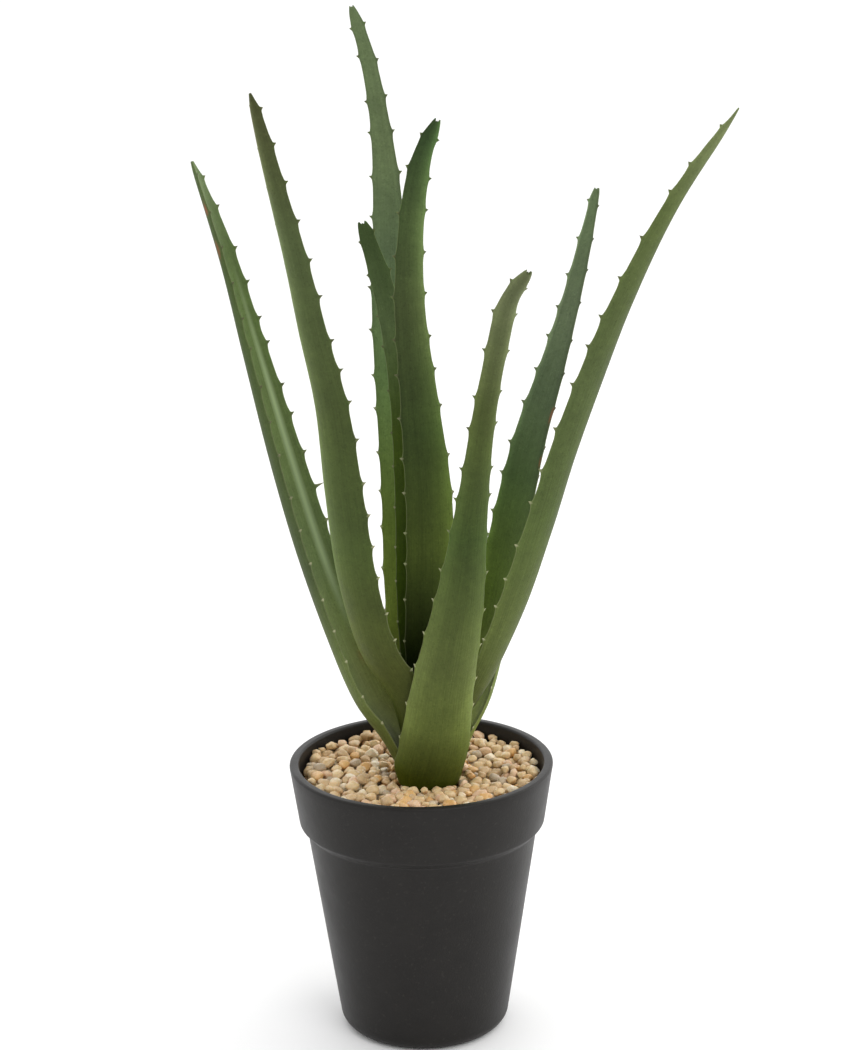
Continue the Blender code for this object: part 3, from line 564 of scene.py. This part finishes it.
def leaf_material(name, spec):
    """Powdery aloe skin: long faint streaks, cloudy patches, fine specks, paler margins and thorns,
    painted light and shade.
    """
    sh = Shader(name)
    along, across, side = sh.attribute("along"), sh.attribute("across"), sh.attribute("side")
    stops = [(at, tuple(c * SKIN_GAIN for c in linear(colour))) for at, colour in spec["skin"]]
    base = sh.ramp(along, stops)
    # painted light and shade: the skin colour times a brightness stored on each point
    base = sh.mix(1.0, base, sh.grey(sh.attribute("shade")), "MULTIPLY")
    space = sh.place()
    streak_space = sh.combine(sh.math("MULTIPLY", across, STREAKS_ACROSS),
                              sh.math("MULTIPLY", along, STREAKS_ALONG), side)
    streaks = sh.noise(streak_space, STREAKS, 4.0)
    clouds = sh.noise(space, CLOUDS, 3.0)
    specks = sh.noise(space, SPECKS, 2.0)
    powder = sh.noise(space, POWDER, 3.0)
    grain = sh.noise(space, GRAIN, 2.0)
    tone = sh.ramp(streaks, [(0.3, 0.90), (0.7, 1.12)])
    tone = sh.mix(1.0, tone, sh.ramp(clouds, [(0.3, 0.90), (0.7, 1.10)]), "MULTIPLY")
    tone = sh.mix(1.0, tone, sh.ramp(powder, [(0.3, 0.93), (0.7, 1.08)]), "MULTIPLY")
    speckling = sh.ramp(specks, [(0.3, 0.80), (0.42, 1.0), (0.6, 1.0), (0.74, 1.25)])
    tone = sh.mix(1.0, tone, speckling, "MULTIPLY")
    colour = sh.mix(1.0, base, tone, "MULTIPLY")
    # painted highlight: a pale line along the leaf
    _, gleam_at, gleam_half, _ = spec.get("gleam", NO_GLEAM)
    off = sh.math("DIVIDE", sh.math("ABSOLUTE", sh.math("SUBTRACT", across, gleam_at)), gleam_half)
    line = sh.math("MULTIPLY", sh.ramp(off, [(0.1, 1.0), (1.0, 0.0)]), sh.attribute("gleam"))
    colour = sh.mix(line, colour, GLEAM_COLOUR)
    # pale margins: partly the margin's own colour, partly a painted highlight where the edge catches the
    # light
    margin = sh.ramp(sh.math("ABSOLUTE", across), [(0.965, 0.0), (0.998, 0.45)])
    colour = sh.mix(margin, colour, MARGIN_AND_HIGHLIGHT_COLOUR)
    thorn_colour = sh.ramp(along, [(0.30, LOW_THORN), (0.62, HIGH_THORN)])
    colour = sh.mix(sh.ramp(sh.attribute("thorn"), [(0.12, 0.0), (0.5, 0.85)]), colour, thorn_colour)
    colour = sh.mix(sh.attribute("blush"), colour, BLUSH_COLOUR)
    relief = sh.math("ADD", sh.math("MULTIPLY", streaks, 0.8), sh.math("MULTIPLY", grain, 0.35))
    normal = sh.bump(relief, 0.30, SKIN_RELIEF)
    rough = sh.ramp(clouds, [(0.3, 0.50), (0.7, 0.60)])
    return sh.finish(colour, rough, normal, Subsurface_Weight=0.08, Subsurface_Radius=(0.6, 1.0, 0.3),
                     Subsurface_Scale=0.002, Specular_IOR_Level=0.09)


CHARCOAL, WORN_CHARCOAL = (0.0095, 0.0083, 0.0074), (0.0130, 0.0116, 0.0103)
DUST = (0.040, 0.036, 0.030)
POT_CLOUDS, POT_SPECKS, POT_GRAIN = 60.0, 520.0, 1100.0


def pot_material():
    """Matt charcoal plastic: faint cloudy mottling, a little dust and a fine grain."""
    sh = Shader("charcoal_pot")
    space = sh.place()
    clouds = sh.noise(space, POT_CLOUDS, 4.0)
    specks = sh.noise(space, POT_SPECKS, 3.0)
    colour = sh.ramp(clouds, [(0.32, CHARCOAL), (0.68, WORN_CHARCOAL)])
    colour = sh.mix(sh.ramp(specks, [(0.6, 0.0), (0.76, 0.35)]), colour, DUST)
    rough = sh.ramp(clouds, [(0.3, 0.40), (0.7, 0.48)])
    normal = sh.bump(sh.noise(space, POT_GRAIN, 2.0), 0.25, 0.0003)
    normal = sh.bump(clouds, 0.2, 0.0008, normal)
    return sh.finish(colour, rough, normal, Specular_IOR_Level=0.21)


def soil_material():
    """Crumbly dark peat."""
    sh = Shader("peat")
    space = sh.place()
    crumbs = sh.noise(space, 300.0, 4.0)
    colour = sh.ramp(crumbs, [(0.35, (0.020, 0.013, 0.008)), (0.7, (0.075, 0.050, 0.032))])
    return sh.finish(colour, 0.95, sh.bump(crumbs, 0.9, 0.002))


def stem_material():
    """Olive stem with faint bands round it."""
    sh = Shader("aloe_stem")
    space = sh.place((1.0, 1.0, 6.0))
    bands = sh.noise(space, 90.0, 3.0)
    colour = sh.ramp(bands, [(0.35, (0.040, 0.040, 0.012)), (0.7, (0.110, 0.105, 0.040))])
    return sh.finish(colour, 0.75, sh.bump(bands, 0.5, 0.001))


# Each kind of stone: share of the stones, two body colours, vein colour, roughness.
STONES = {
    "pebbles_cream": (0.33, (0.68, 0.51, 0.28), (0.60, 0.42, 0.21), (0.78, 0.64, 0.42), 0.42),
    "pebbles_beige": (0.27, (0.59, 0.42, 0.23), (0.50, 0.34, 0.17), (0.70, 0.54, 0.34), 0.46),
    "pebbles_rose": (0.13, (0.61, 0.38, 0.22), (0.67, 0.46, 0.28), (0.74, 0.57, 0.38), 0.44),
    "pebbles_amber": (0.12, (0.60, 0.33, 0.11), (0.68, 0.43, 0.18), (0.76, 0.56, 0.28), 0.34),
    "pebbles_grey": (0.05, (0.47, 0.37, 0.25), (0.38, 0.29, 0.18), (0.60, 0.49, 0.36), 0.48),
    "pebbles_white": (0.10, (0.77, 0.66, 0.48), (0.70, 0.57, 0.37), (0.84, 0.76, 0.62), 0.30),
}
STONE_PATCHES, STONE_VEINS, STONE_GRAIN = 260.0, 420.0, 1700.0
STAIN = 0.5                  # brightness of the dark grains, as a share of the second colour


def stone_material(name, first, second, vein, roughness):
    """Water-worn stone: each pebble has its own tone between two, with soft veins and fine grain."""
    sh = Shader(name)
    space = sh.place()
    body = sh.mix(sh.attribute("tone"), first, second)
    patches = sh.noise(space, STONE_PATCHES, 3.0)
    veins = sh.noise(space, STONE_VEINS, 5.0, 0.65)
    colour = sh.mix(sh.ramp(patches, [(0.35, 0.0), (0.7, 0.5)]), body, second)
    colour = sh.mix(sh.ramp(veins, [(0.52, 0.0), (0.66, 0.55)]), colour, vein)
    grains = sh.noise(space, STONE_GRAIN, 2.0)
    stain = tuple(STAIN * c for c in second)
    colour = sh.mix(sh.ramp(grains, [(0.30, 0.30), (0.45, 0.0)]), colour, stain)
    normal = sh.bump(sh.math("ADD", patches, sh.math("MULTIPLY", grains, 0.4)), 0.4, 0.0008)
    return sh.finish(colour, roughness, normal, Subsurface_Weight=0.2, Subsurface_Radius=(1.0, 0.6, 0.3),
                     Subsurface_Scale=0.0015)


# ---- pot ------------------------------------------------------------------------------------------
POT_HEIGHT, RIM_RADIUS = 138.5, 65.0
COLLAR_FOOT_Z, COLLAR_FOOT_RADIUS = 108.2, 60.7
SHOULDER_Z, BODY_TOP_RADIUS = 104.6, 57.0
BASE_RADIUS, BASE_FILLET = 42.4, 7.6
FLOOR_THICKNESS, WALL_THICKNESS = 4.5, 3.6
LIP_THICKNESS, LIP_ROUNDING = 4.6, 1.3
EDGE_SOFTENING = 0.9
POT_SEGMENTS = 160
FLAT_STEPS, FILLET_STEPS, WALL_STEPS = 6, 14, 12           # points along each stretch of the outline
COLLAR_STEPS, LIP_STEPS, LINING_STEPS = 6, 7, 5
FILLET_START, FILLET_END = -90, -8                         # degrees round the foot's fillet
SOFTENED_SHARE = 0.45        # most of a side that a softened corner may take
POT_CREASE = 40              # degrees between faces beyond which the pot has an edge
# The inner side of the wall, as (radius, height) from the lip down to the corner of the floor.
INNER_LIP = (RIM_RADIUS - LIP_THICKNESS, POT_HEIGHT - LIP_ROUNDING)
INNER_COLLAR = (COLLAR_FOOT_RADIUS - WALL_THICKNESS - 0.6, COLLAR_FOOT_Z + 1.0)
INNER_SHOULDER = (BODY_TOP_RADIUS - WALL_THICKNESS, SHOULDER_Z - 2.0)
INNER_FOOT = (BASE_RADIUS - WALL_THICKNESS, 7.5)
INNER_FLOOR = (BASE_RADIUS - WALL_THICKNESS - 3.0, FLOOR_THICKNESS)


def arc(centre_r, centre_z, radius, start, end, steps):
    """Points on a circle between two angles in degrees, both included."""
    angles = [math.radians(start + (end - start) * i / steps) for i in range(steps + 1)]
    return [(centre_r + radius * math.cos(a), centre_z + radius * math.sin(a)) for a in angles]


def soften(points, corners, reach, steps=4):
    """Round the named corners of an outline with a short quadratic curve."""
    made = []
    for i, point in enumerate(points):
        if i not in corners:
            made.append(point)
            continue
        p, before, after = Vector(point), Vector(points[i - 1]), Vector(points[i + 1])
        a = p + (before - p).normalized() * min(reach, (before - p).length * SOFTENED_SHARE)
        b = p + (after - p).normalized() * min(reach, (after - p).length * SOFTENED_SHARE)
        for k in range(steps + 1):
            u = k / steps
            q = a * (1 - u) ** 2 + p * 2 * u * (1 - u) + b * u * u
            made.append((q.x, q.y))
    return made


def between(a, b, count):
    """Points from a to b, without the first."""
    step = [(b[i] - a[i]) for i in range(2)]
    return [(a[0] + step[0] * k / count, a[1] + step[1] * k / count) for k in range(1, count + 1)]


def pot_outline():
    """Half section of the pot, from the centre of its underside round to the centre of its floor."""
    lip_r, lip_z = INNER_LIP
    flat = BASE_RADIUS - BASE_FILLET
    foot = arc(flat, BASE_FILLET, BASE_FILLET, FILLET_START, FILLET_END, FILLET_STEPS)
    outside = [(k * flat / FLAT_STEPS, 0) for k in range(FLAT_STEPS)] + foot
    outside += between(foot[-1], (BODY_TOP_RADIUS, SHOULDER_Z), WALL_STEPS)
    shoulder = len(outside) - 1
    lip = arc(RIM_RADIUS - LIP_ROUNDING, lip_z, LIP_ROUNDING, 0, 90, LIP_STEPS)
    lip += arc(lip_r + LIP_ROUNDING, lip_z, LIP_ROUNDING, 90, 180, LIP_STEPS)
    collar_foot = (COLLAR_FOOT_RADIUS, COLLAR_FOOT_Z)
    outside += [collar_foot] + between(collar_foot, lip[0], COLLAR_STEPS)
    inside = between(lip[-1], INNER_COLLAR, LINING_STEPS)
    inside += [INNER_SHOULDER, INNER_FOOT, INNER_FLOOR, (0, FLOOR_THICKNESS)]
    return soften(outside + lip[1:] + inside, {shoulder, shoulder + 1}, EDGE_SOFTENING)


def make_pot(material):
    """Rings of points round the outline, closed by a fan under the foot and another on the floor."""
    (_, underside), *rings, (_, floor) = pot_outline()
    turns = [TAU * k / POT_SEGMENTS for k in range(POT_SEGMENTS)]
    corners = [(r * math.cos(a) * MM, r * math.sin(a) * MM, z * MM) for r, z in rings for a in turns]
    foot_centre, floor_centre = len(corners), len(corners) + 1
    corners += [(0, 0, underside * MM), (0, 0, floor * MM)]
    last_ring = foot_centre - POT_SEGMENTS
    faces = []
    for k in range(POT_SEGMENTS):
        following = (k + 1) % POT_SEGMENTS
        faces.append((foot_centre, following, k))
        for low in range(0, last_ring, POT_SEGMENTS):
            high = low + POT_SEGMENTS
            faces.append((low + k, low + following, high + following, high + k))
        faces.append((floor_centre, last_ring + k, last_ring + following))
    mesh = bpy.data.meshes.new("pot_shell")
    mesh.from_pydata(corners, [], faces)
    pot = finish_piece("pot_shell", mesh, material, POT_CREASE)
    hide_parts("pot")


# ---- pebbles --------------------------------------------------------------------------------------
SOIL_LEVEL = 122.3           # where the lowest stones lie
PEBBLE_LOW, PEBBLE_HIGH = 133.4, 138.2    # tops of the stones beside the plant and at the left wall
PEBBLE_TILT = 1.6            # how much lower they lie at the right wall than half way
LEVEL_RISES = (22, 44)       # distances from the plant between which the dressing rises
PEBBLE_RADII, SMALL_RADII = (1.9, 3.3), (1.6, 2.3)         # smallest and largest mean radius
PEBBLE_SHARE = 0.8           # share of the stones that isn't small
TRIES_PER_PEBBLE = 14
GIVE_UP_AFTER = 150
NESTLE = 0.92                # distance between touching stones, as a share of their radii together
WALL_GAP = 0.3
PLANT = (5.0, 0.0)
PLANT_REACH = 40.0           # beyond this no leaf is near the stones
STEM_CLEARANCE = 13.0
PEBBLE_SEED = 7
SEEN_DEPTH = 6.5             # stones this far down can't be seen, and are coarser
FINE_BALL, COARSE_BALL = 3, 2                              # subdivisions


def hollow_radius(z):
    """Inner radius of the pot near its top."""
    (low_r, low_z), (high_r, high_z) = INNER_COLLAR, INNER_LIP
    return low_r + (high_r - low_r) * (z - low_z) / (high_z - low_z)


def pebble_level(x, y):
    """Highest allowed top of a stone: the dressing rises towards the wall, most on the left."""
    start, end = LEVEL_RISES
    away = min(max((math.hypot(x - PLANT[0], y - PLANT[1]) - start) / (end - start), 0), 1)
    rise = PEBBLE_HIGH - PEBBLE_LOW - PEBBLE_TILT * (1 + x / RIM_RADIUS)
    return PEBBLE_LOW + rise * away


def resting_height(placed, x, y, radius):
    """Height of the centre of a stone dropped at x, y on those already there."""
    height = SOIL_LEVEL + radius
    if len(placed):
        touch = (placed[:, 3] + radius) * NESTLE
        d2 = (placed[:, 0] - x) ** 2 + (placed[:, 1] - y) ** 2
        under = d2 < touch ** 2
        if under.any():
            tops = placed[under, 2] + np.sqrt(touch[under] ** 2 - d2[under])
            height = max(height, float(tops.max()))
    return height


def clear_of_leaves(trees, x, y, z, radius):
    """Whether a stone stays outside the stem and every leaf."""
    away = math.hypot(x - PLANT[0], y - PLANT[1])
    if away > PLANT_REACH:
        return True
    if away < STEM_CLEARANCE:
        return False
    point = Vector((x * MM, y * MM, z * MM))
    for tree in trees:
        near, normal, _, distance = tree.find_nearest(point)
        if distance < radius * NESTLE * MM or (point - near).dot(normal) < 0:
            return False
    return True


def settle_pebbles(leaf_trees, rng):
    """Drop stones one by one, each into the lowest of a few places; rows of x, y, z, radius."""
    placed = np.zeros((0, 4))
    missed = 0
    while missed < GIVE_UP_AFTER:
        radius = rng.uniform(*(PEBBLE_RADII if rng.random() < PEBBLE_SHARE else SMALL_RADII))
        best = None
        for _ in range(TRIES_PER_PEBBLE):
            a, reach = rng.uniform(0, TAU), math.sqrt(rng.random())
            spread = (hollow_radius(PEBBLE_HIGH - radius) - radius - WALL_GAP) * reach
            x, y = spread * math.cos(a), spread * math.sin(a)
            z = resting_height(placed, x, y, radius)
            fits = z + radius < pebble_level(x, y)
            if fits and (best is None or z < best[2]) and clear_of_leaves(leaf_trees, x, y, z, radius):
                best = (x, y, z)
        if best is None:
            missed += 1
            continue
        placed = np.vstack([placed, [*best, radius]])
    return placed


def ball(subdivisions):
    """Points and triangles of a unit ball."""
    bm = bmesh.new()
    bmesh.ops.create_icosphere(bm, subdivisions=subdivisions, radius=1.0)
    points = np.array([v.co[:] for v in bm.verts])
    faces = np.array([[v.index for v in f.verts] for f in bm.faces])
    bm.free()
    return points, faces


DENT_SCALE, DENT_DEPTH = 1.2, 0.30
FLAT_SIDES, FLATTENING = 7, 0.8
FLAT_AT = (0.66, 0.92)       # nearest and farthest flat side, in mean radii
STRETCH = ((1.0, 1.35), (0.9, 1.1), (0.75, 0.95))          # length, width and height, in mean radii
SWELLING = 1.06              # makes up for what the flat sides take off
SLANT = 0.5                  # radians, spread of the stones' tilt


def pebble_shape(points, radius, rng):
    """Corner points of one worn stone, centred on zero: a dented ball with a few flattened sides."""
    offset = Vector((rng.uniform(0, 50), rng.uniform(0, 50), rng.uniform(0, 50)))
    dents = np.array([noise.noise(Vector(p) * DENT_SCALE + offset) for p in points])
    shape = points * (1.0 + DENT_DEPTH * dents[:, None])
    for _ in range(FLAT_SIDES):
        normal = np.array([rng.gauss(0, 1), rng.gauss(0, 1), rng.gauss(0, 1)])
        normal /= np.linalg.norm(normal)
        beyond = np.maximum(shape @ normal - rng.uniform(*FLAT_AT), 0)
        shape = shape - FLATTENING * beyond[:, None] * normal
    stretch = np.array([rng.uniform(*span) for span in STRETCH])
    tilt = Matrix.Rotation(rng.uniform(0, TAU), 3, "Z") @ Matrix.Rotation(rng.gauss(0, SLANT), 3, "X")
    return (shape * stretch * radius * SWELLING) @ np.array(tilt).T


def make_pebbles(leaf_trees):
    """Settle the stones and build one heap of each kind."""
    rng = random.Random(PEBBLE_SEED)
    stones = settle_pebbles(leaf_trees, rng)
    names = list(STONES)
    kinds = rng.choices(names, [STONES[n][0] for n in names], k=len(stones))
    fine, coarse = ball(FINE_BALL), ball(COARSE_BALL)
    heaps = {n: ([], [], []) for n in names}
    for (x, y, z, radius), kind in zip(stones, kinds):
        seen = z + radius > pebble_level(x, y) - SEEN_DEPTH
        corners, triangles = fine if seen else coarse
        points, faces, tones = heaps[kind]
        start = sum(len(p) for p in points)
        points.append(pebble_shape(corners, radius, rng) + np.array([x, y, z]))
        faces.append(triangles + start)
        tones.append(np.full(len(corners), rng.random()))
    covered = ["gravel_bed"] + sorted(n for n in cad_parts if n.startswith("pebble_"))
    for name, (points, faces, tones) in heaps.items():
        material = stone_material(name, *STONES[name][1:])
        mesh = bpy.data.meshes.new(name)
        mesh.from_pydata((np.concatenate(points) * MM).tolist(), [], np.concatenate(faces).tolist())
        layer = mesh.attributes.new("tone", "FLOAT", "POINT")
        layer.data.foreach_set("value", np.concatenate(tones))
        heap = finish_piece(name, mesh, material, None, False)
        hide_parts(*covered)
        print(name, len(points), "stones,", len(mesh.polygons), "faces")


# ---- studio, in metres ----------------------------------------------------------------------------
CAMERA_DISTANCE = 1.2        # in front of the pot's axis
CAMERA_HEIGHT = 0.6041
CAMERA_SIDE = 0.0047
CAMERA_PITCH = math.radians(16.05)
CAMERA_ROLL = math.radians(-0.8)
CAMERA_LENS, SENSOR_WIDTH = 89.04, 36.0   # millimetres
CLIP_END = 100.0
TENT_FRONT, TENT_BACK = 0.55, 1.85        # brightness of the white tent round the set
FLOOR_HALF = 30.0
FLOOR_GREYS = (0.90, 0.915)
LIT_POINT = (0, 0, 0.25)                  # where the lamps aim
# Each lamp: place, size, watts, colour.
LAMPS = {
    "side_right": ((1.5, 0.5, 0.9), (1.0, 1.6), 8.0, (1.0, 0.985, 0.95)),
    "front_key": ((0.9, -1.5, 1.5), (1.2, 1.2), 12.0, (1.0, 1.0, 1.0)),
}


def make_camera():
    """Camera in front of the pot, looking down at it, turned a little about its own axis."""
    data = bpy.data.cameras.new("camera")
    data.lens = CAMERA_LENS
    data.sensor_width = SENSOR_WIDTH
    data.clip_end = CLIP_END
    camera = bpy.data.objects.new("camera", data)
    right = Vector((1, 0, 0))
    up = Vector((0, math.sin(CAMERA_PITCH), math.cos(CAMERA_PITCH)))
    back = Vector((0, -math.cos(CAMERA_PITCH), math.sin(CAMERA_PITCH)))
    c, s = math.cos(CAMERA_ROLL), math.sin(CAMERA_ROLL)
    axes = (right * c + up * s, up * c - right * s, back)
    turn = Matrix(axes).transposed().to_4x4()
    camera.matrix_world = Matrix.Translation((CAMERA_SIDE, -CAMERA_DISTANCE, CAMERA_HEIGHT)) @ turn
    bpy.context.scene.collection.objects.link(camera)
    bpy.context.scene.camera = camera


def area_light(name, place, size, power, colour):
    """A rectangular lamp aimed at the plant."""
    data = bpy.data.lights.new(name, "AREA")
    data.shape = "RECTANGLE"
    data.size, data.size_y = size
    data.energy = power
    data.color = colour
    light = bpy.data.objects.new(name, data)
    light.location = place
    aim = Vector(LIT_POINT) - Vector(place)
    light.rotation_euler = aim.to_track_quat("-Z", "Y").to_euler()
    bpy.context.scene.collection.objects.link(light)


def make_world():
    """A white tent: dim where the camera stands, bright behind the plant."""
    world = bpy.data.worlds.new("studio")
    world.use_nodes = True
    nodes, links = world.node_tree.nodes, world.node_tree.links
    place = nodes.new("ShaderNodeTexCoord")
    split = nodes.new("ShaderNodeSeparateXYZ")
    level = nodes.new("ShaderNodeMapRange")
    level.inputs["From Min"].default_value = -1.0
    level.inputs["From Max"].default_value = 1.0
    level.inputs["To Min"].default_value = TENT_FRONT
    level.inputs["To Max"].default_value = TENT_BACK
    links.new(place.outputs["Generated"], split.inputs["Vector"])
    links.new(split.outputs["Y"], level.inputs["Value"])
    links.new(level.outputs["Result"], nodes["Background"].inputs["Strength"])
    nodes["Background"].inputs["Color"].default_value = (1.0, 1.0, 1.0, 1.0)
    bpy.context.scene.world = world


def make_floor():
    """A plain pale floor, faintly clouded."""
    corners = [(x * FLOOR_HALF, y * FLOOR_HALF, 0) for x, y in ((-1, -1), (1, -1), (1, 1), (-1, 1))]
    mesh = bpy.data.meshes.new("floor")
    mesh.from_pydata(corners, [], [(0, 1, 2, 3)])
    sh = Shader("studio_floor")
    clouds = sh.noise(sh.place(), 3.0, 2.0)
    grey = sh.ramp(clouds, [(0.3, FLOOR_GREYS[0]), (0.7, FLOOR_GREYS[1])])
    mesh.materials.append(sh.finish(grey, 0.9, Specular_IOR_Level=0.1))
    floor = bpy.data.objects.new("floor", mesh)
    bpy.context.scene.collection.objects.link(floor)


def make_leaves():
    """All the leaves; returns a search tree of each for keeping the stones clear of it."""
    trees = []
    for name, spec in LEAVES.items():
        leaf = make_leaf(name + "_skin", spec, leaf_material(name + "_skin", spec))
        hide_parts(name)
        trees.append(BVHTree.FromPolygons([v.co for v in leaf.data.vertices],
                                          [p.vertices for p in leaf.data.polygons]))
    return trees


def paint_cad(node, material):
    """Give a CAD node that shows its own shape a procedural paint."""
    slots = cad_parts[node].data.materials
    slots.clear()
    slots.append(material)


def main():
    """Set up the studio, then build every piece."""
    make_camera()
    make_floor()
    make_world()
    for name, lamp in LAMPS.items():
        area_light(name, *lamp)
    bpy.context.scene.view_settings.view_transform = "Standard"
    trees = make_leaves()
    make_pot(pot_material())
    make_pebbles(trees)
    paint_cad("potting_soil", soil_material())
    paint_cad("stem", stem_material())


main()
